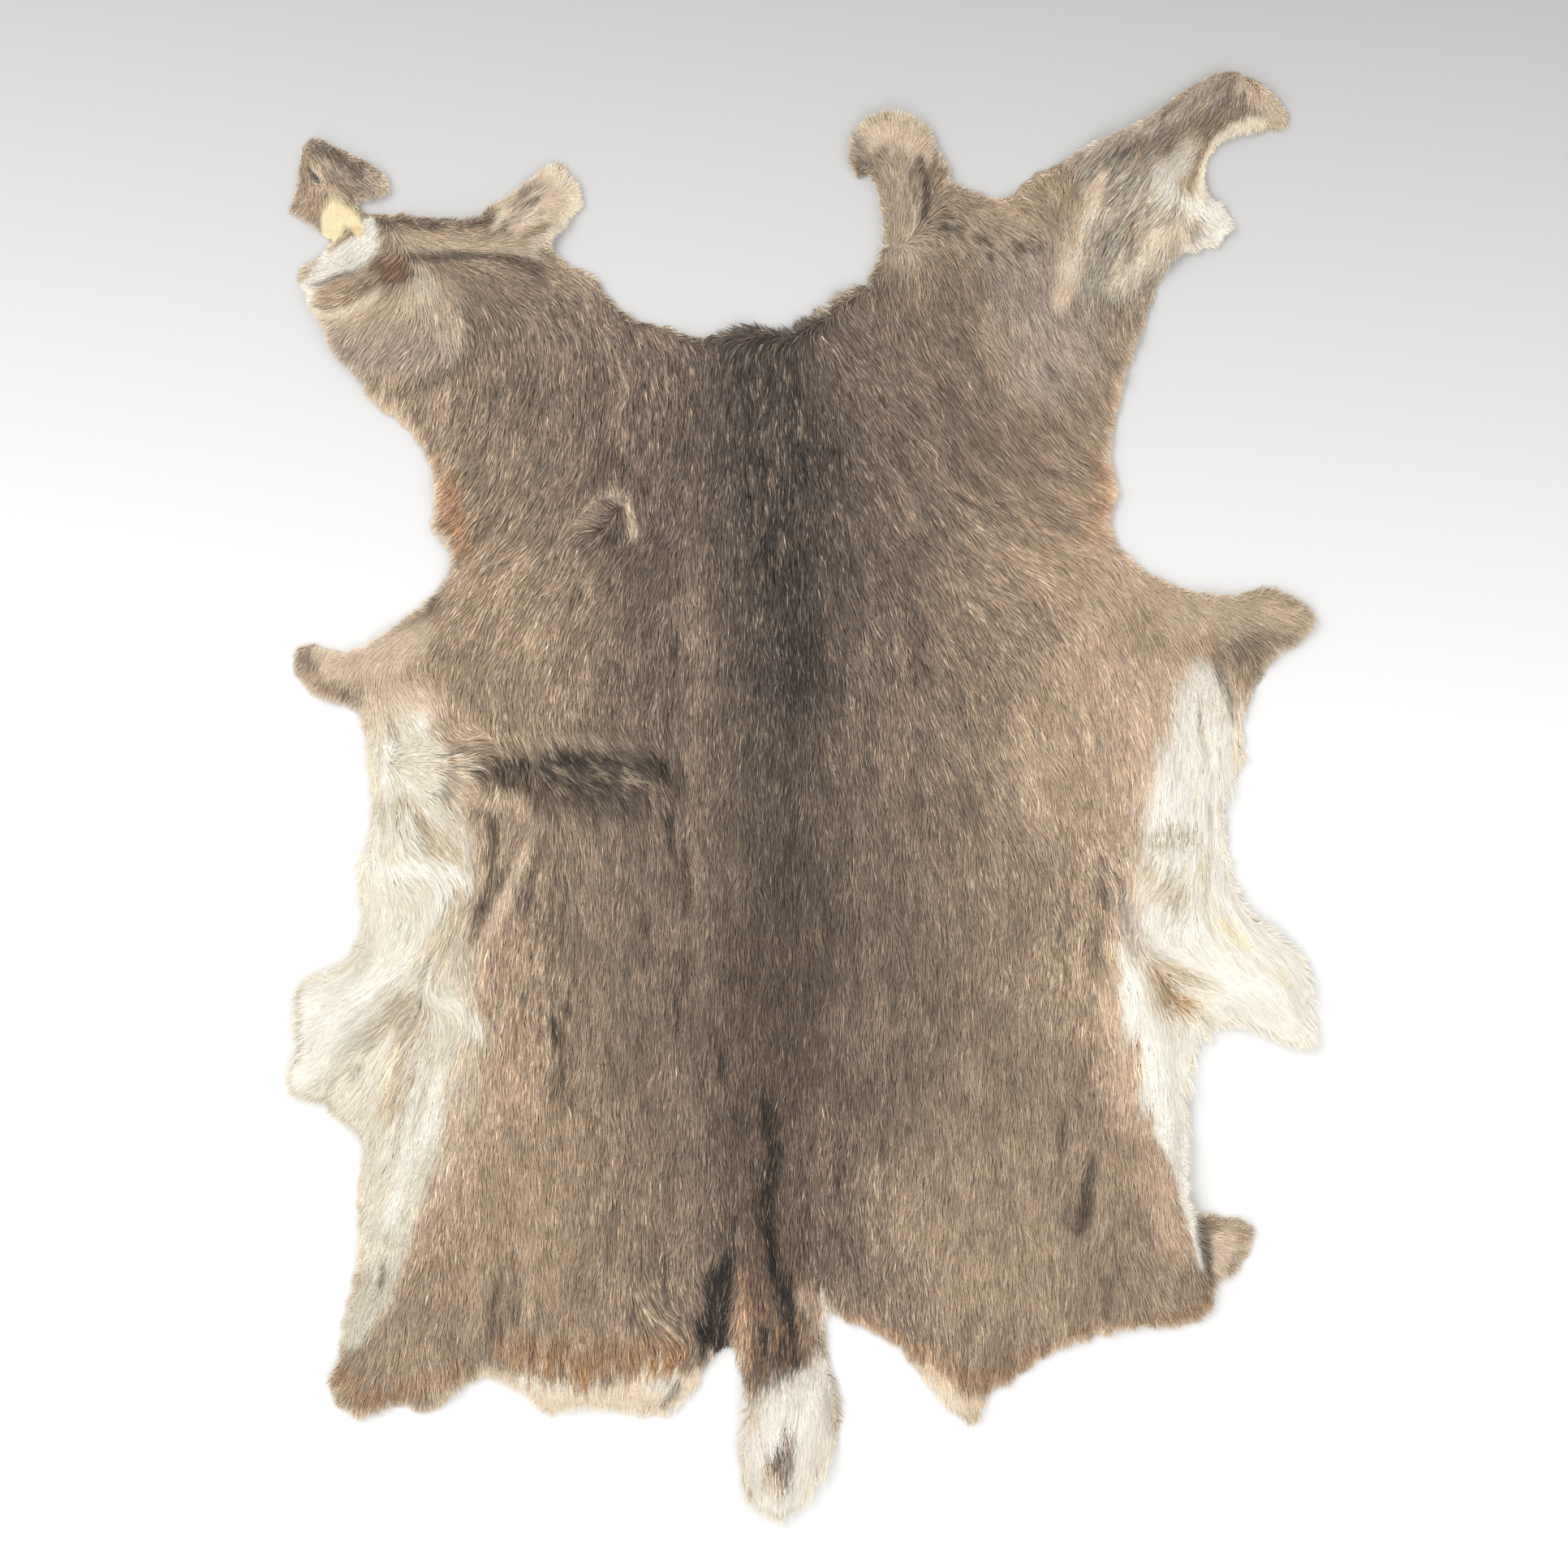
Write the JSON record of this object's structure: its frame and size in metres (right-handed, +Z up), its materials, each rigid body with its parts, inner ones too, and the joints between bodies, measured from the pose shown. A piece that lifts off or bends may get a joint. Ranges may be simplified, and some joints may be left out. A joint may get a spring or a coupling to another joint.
{
  "type": "deer hide",
  "caption": "Whole hair-on deer hide laid flat, hair side up: grey-brown coat with a dark spine, white belly edges, ear and face flaps, foreleg tabs and a tail.",
  "frame": {"origin": "on the surface that the hide lies on, under the middle of its box", "axes": "+Z up from the skin to the hair; +Y along the spine towards the head end; +X towards the animal's right side"},
  "size_m": [0.949, 1.3356, 0.0276],
  "materials": {
    "coat": "deer hair on tanned skin: matt grey-brown hair, darker along the spine, near-white at the belly edges and the tail, pale skin underneath"
  },
  "bodies": {
    "root": {"hide": "coat"}
  },
  "joints": []
}
